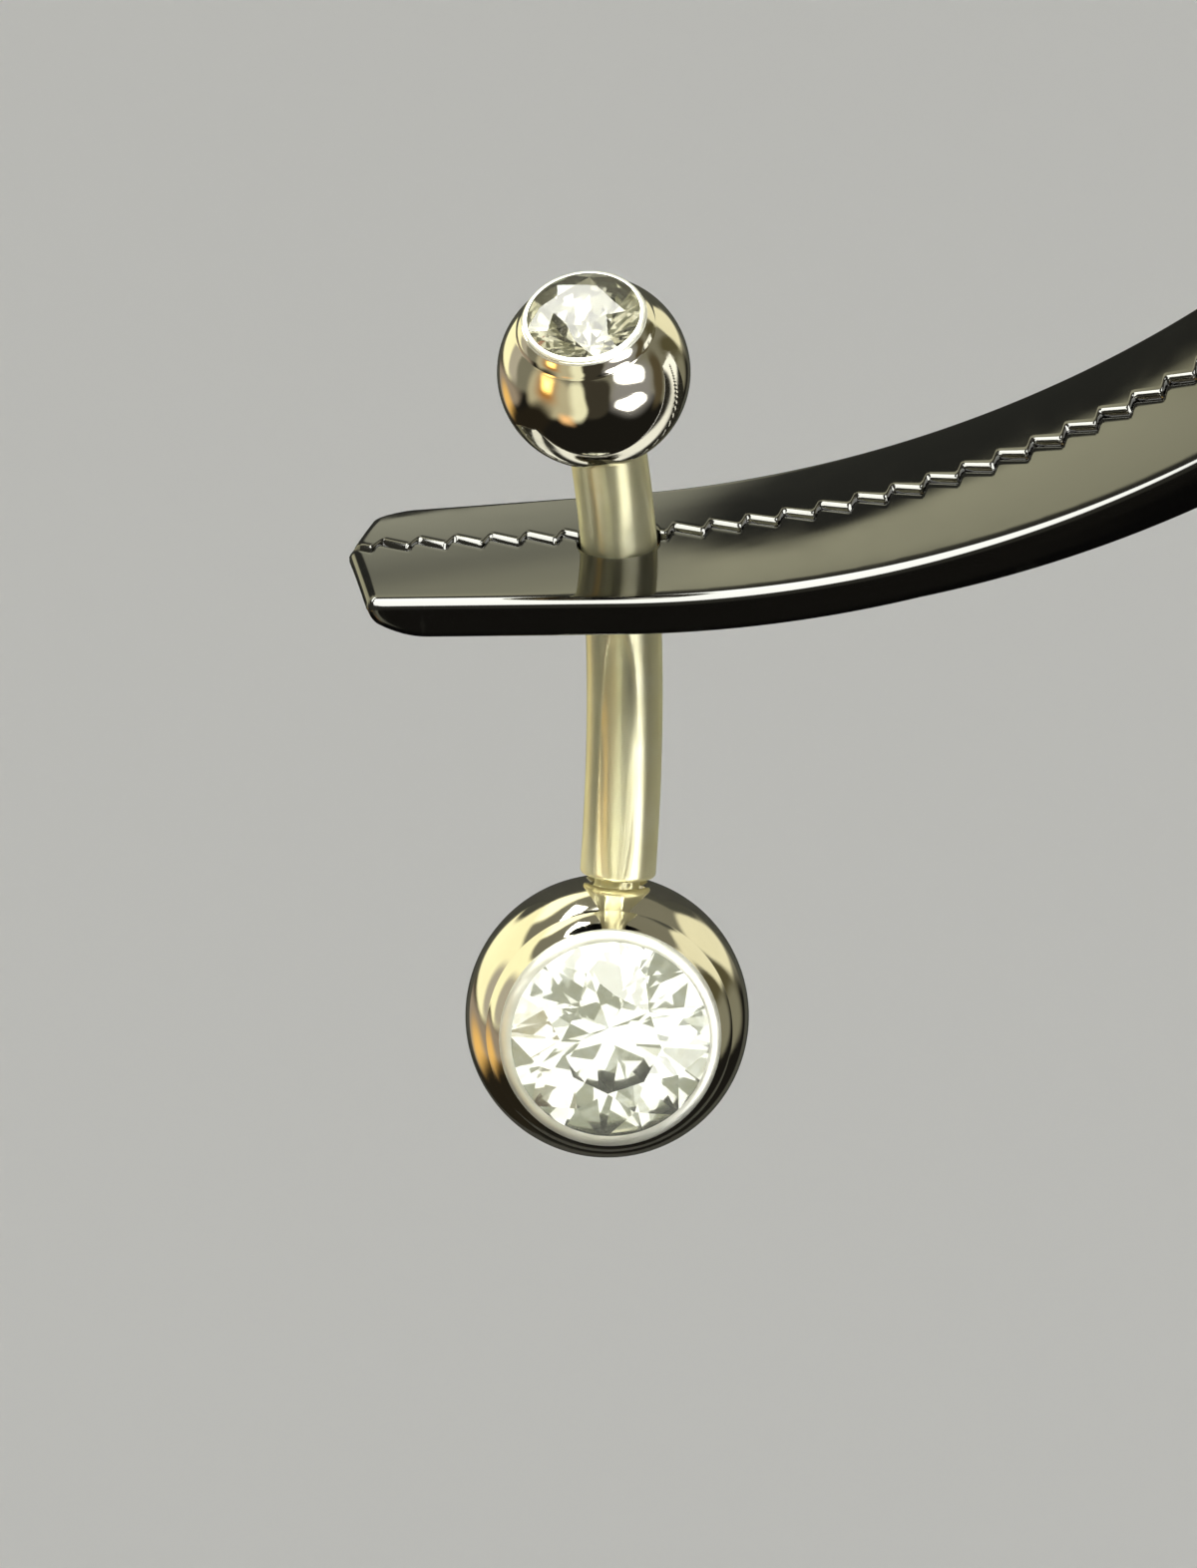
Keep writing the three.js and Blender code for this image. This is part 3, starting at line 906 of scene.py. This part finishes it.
def compass(azimuth, elevation):
    """A direction from its azimuth and elevation in degrees."""
    azimuth, elevation = math.radians(azimuth), math.radians(elevation)
    level = math.cos(elevation)
    return Vector((level * math.sin(azimuth), level * math.cos(azimuth), math.sin(elevation)))


def patch_share(direction, patch):
    """1 inside a patch and 0 outside it."""
    _, azimuth, elevation, half_width, half_height, turn, soft, _, _ = patch
    centre = compass(azimuth, elevation)
    beside = compass(azimuth + 90, 0)
    above = compass(azimuth, elevation + 90)
    away = Vector((direction.dot(beside), direction.dot(above)))
    if away.length:
        away *= math.degrees(centre.angle(direction)) / away.length
    away.rotate(Matrix.Rotation(math.radians(-turn), 2))
    # The patch's edge, where reach is 1, is an oblong with well rounded corners.
    reach = (abs(away.x / half_width) ** 3 + abs(away.y / half_height) ** 3) ** (1 / 3)
    fade = min(max((1 + soft - reach) / (2 * soft), 0), 1)
    return fade * fade * (3 - 2 * fade)


def paint_patches(colour, direction, patches):
    for patch in patches:
        share = patch_share(direction, patch)
        strength, paint = patch[-2:]
        colour = colour.lerp(Vector(paint) * strength, share)
    return (*colour, 1)


def mirrored_light(direction):
    bent = (direction + noise_vector(direction * BEND.count) * BEND.amount).normalized()
    return paint_patches(Vector(ROOM_COLOUR), bent, MIRRORED)


def refracted_light(direction):
    share = (noise_vector(direction * CELLS.count).x + CELLS.edge) / (2 * CELLS.edge)
    cells = Vector(CELLS.dim).lerp(Vector(CELLS.bright), min(max(share, 0), 1))
    return paint_patches(cells, direction, GLINTS)


def make_room():
    mesh = bpy.data.meshes.new("reflected_room")
    shape = bmesh.new()
    bmesh.ops.create_uvsphere(shape, u_segments=240, v_segments=120, radius=ROOM_RADIUS)
    shape.to_mesh(mesh)
    shape.free()
    seed_set(NOISE_SEED)
    for name, light_from in (("mirrored", mirrored_light), ("refracted", refracted_light)):
        layer = mesh.color_attributes.new(name, "FLOAT_COLOR", "POINT")
        for point, vertex in zip(layer.data, mesh.vertices):
            point.color = light_from(vertex.co.normalized())
    room = bpy.data.objects.new("reflected_room", mesh)
    bpy.context.scene.collection.objects.link(room)
    room.location = (cad_low + cad_high) / 2
    material, nodes, links, shader = new_material("reflected_room")
    nodes.remove(shader)
    light = add_node(nodes, "ShaderNodeEmission")
    mix = add_node(nodes, "ShaderNodeMix", data_type="RGBA")
    first, second = [socket for socket in mix.inputs if socket.type == "RGBA"]
    for name, socket in (("mirrored", first), ("refracted", second)):
        layer = add_node(nodes, "ShaderNodeAttribute", attribute_name=name)
        links.new(layer.outputs["Color"], socket)
    path = add_node(nodes, "ShaderNodeLightPath")
    links.new(path.outputs["Is Transmission Ray"], mix.inputs["Factor"])
    links.new([socket for socket in mix.outputs if socket.type == "RGBA"][0], light.inputs["Color"])
    links.new(light.outputs["Emission"], nodes["Material Output"].inputs["Surface"])
    mesh.materials.append(material)
    room.visible_camera = False
    room.visible_diffuse = False
    room.visible_shadow = False


# Two cards near the jewellery, which only reflections see: a dark one upright behind it, and a
# bright one up to the left, in which the slit's teeth glint. In millimetres and degrees.
DARK_CARD = Sizes(behind=18, left=9, right=8.5, above=1.6, below=35)
BRIGHT_CARD = Sizes(azimuth=-56, elevation=47, away=29, half_width=13, half_height=3, glow=10)


def make_card(name, corners, colour, glow):
    """A card with its corners in the strip's own frame. Glow is 0 for a card that gives no light."""
    mesh = bpy.data.meshes.new(name)
    mesh.from_pydata([(ROW @ corner) * MM for corner in corners], [], [(0, 1, 2, 3)])
    card = bpy.data.objects.new(name, mesh)
    bpy.context.scene.collection.objects.link(card)
    material, _, _, shader = new_material(name)
    shader.inputs["Base Color"].default_value = (*colour, 1)
    shader.inputs["Roughness"].default_value = 0.9
    shader.inputs["Emission Color"].default_value = (*colour, 1)
    shader.inputs["Emission Strength"].default_value = glow
    mesh.materials.append(material)
    card.visible_camera = False
    card.visible_diffuse = False
    card.visible_transmission = False
    card.visible_shadow = False


def make_cards():
    card = DARK_CARD
    low_left = Vector((-card.left, card.behind, -card.below))
    low_right = Vector((card.right, card.behind, -card.below))
    rise = UP * (card.above + card.below)
    corners = [low_left, low_right, low_right + rise, low_left + rise]
    make_card("dark_card", corners, colour=(0.05, 0.05, 0.04), glow=0)
    card = BRIGHT_CARD
    centre = compass(card.azimuth, card.elevation) * card.away
    beside = compass(card.azimuth + 90, 0) * card.half_width
    above = compass(card.azimuth, card.elevation + 90) * card.half_height
    low_left = centre - beside - above
    low_right = centre + beside - above
    corners = [low_left, low_right, low_right + 2 * above, low_left + 2 * above]
    make_card("bright_card", corners, colour=(1.0, 1.0, 0.90), glow=card.glow)


def make_lights():
    for name, azimuth, elevation, size, power in (
        ("key", 150, 60, 0.8, 3.0),
        ("fill", -60, 50, 1.0, 1.6),
    ):
        data = bpy.data.lights.new(name, "AREA")
        data.size = size
        data.energy = power
        light = bpy.data.objects.new(name, data)
        bpy.context.scene.collection.objects.link(light)
        light.location = (cad_low + cad_high) / 2 + compass(azimuth, elevation) * LIGHT_DISTANCE
        light.rotation_mode = "QUATERNION"
        light.rotation_quaternion = compass(azimuth, elevation).to_track_quat("Z", "Y")
        light.visible_glossy = False
        light.visible_transmission = False


def make_world():
    world = bpy.data.worlds.new("studio")
    bpy.context.scene.world = world
    world.use_nodes = True
    world.node_tree.nodes["Background"].inputs["Color"].default_value = (0.9, 0.9, 0.9, 1)
    world.node_tree.nodes["Background"].inputs["Strength"].default_value = 0.22
    world.cycles_visibility.glossy = False
    world.cycles_visibility.transmission = False


# In millimetres, it aims at a point left of the strip's hole and below it, where the picture's
# longer side measures view.
CAMERA = Sizes(elevation=22, distance=300, view=32.75, left=0.4167, below=5.125)


def make_camera():
    """Looks down at the front. The strip's hole is a little above the picture's middle."""
    elevation = math.radians(CAMERA.elevation)
    look = Vector((0, math.cos(elevation), -math.sin(elevation)))
    rise = Vector((0, math.sin(elevation), math.cos(elevation)))
    hole = (ROW @ Vector((0, 0, 0))) * MM
    aim = hole - Vector((CAMERA.left, 0, 0)) * MM - rise * CAMERA.below * MM
    data = bpy.data.cameras.new("camera")
    data.sensor_width = 36
    data.lens = data.sensor_width * CAMERA.distance / CAMERA.view
    data.clip_start = 0.01
    camera = bpy.data.objects.new("camera", data)
    camera.location = aim - look * CAMERA.distance * MM
    camera.rotation_mode = "QUATERNION"
    camera.rotation_quaternion = look.to_track_quat("-Z", "Y")
    bpy.context.scene.collection.objects.link(camera)
    bpy.context.scene.camera = camera


make_camera()
make_floor()
make_room()
make_cards()
make_lights()
make_world()
bpy.context.scene.view_settings.view_transform = "Standard"
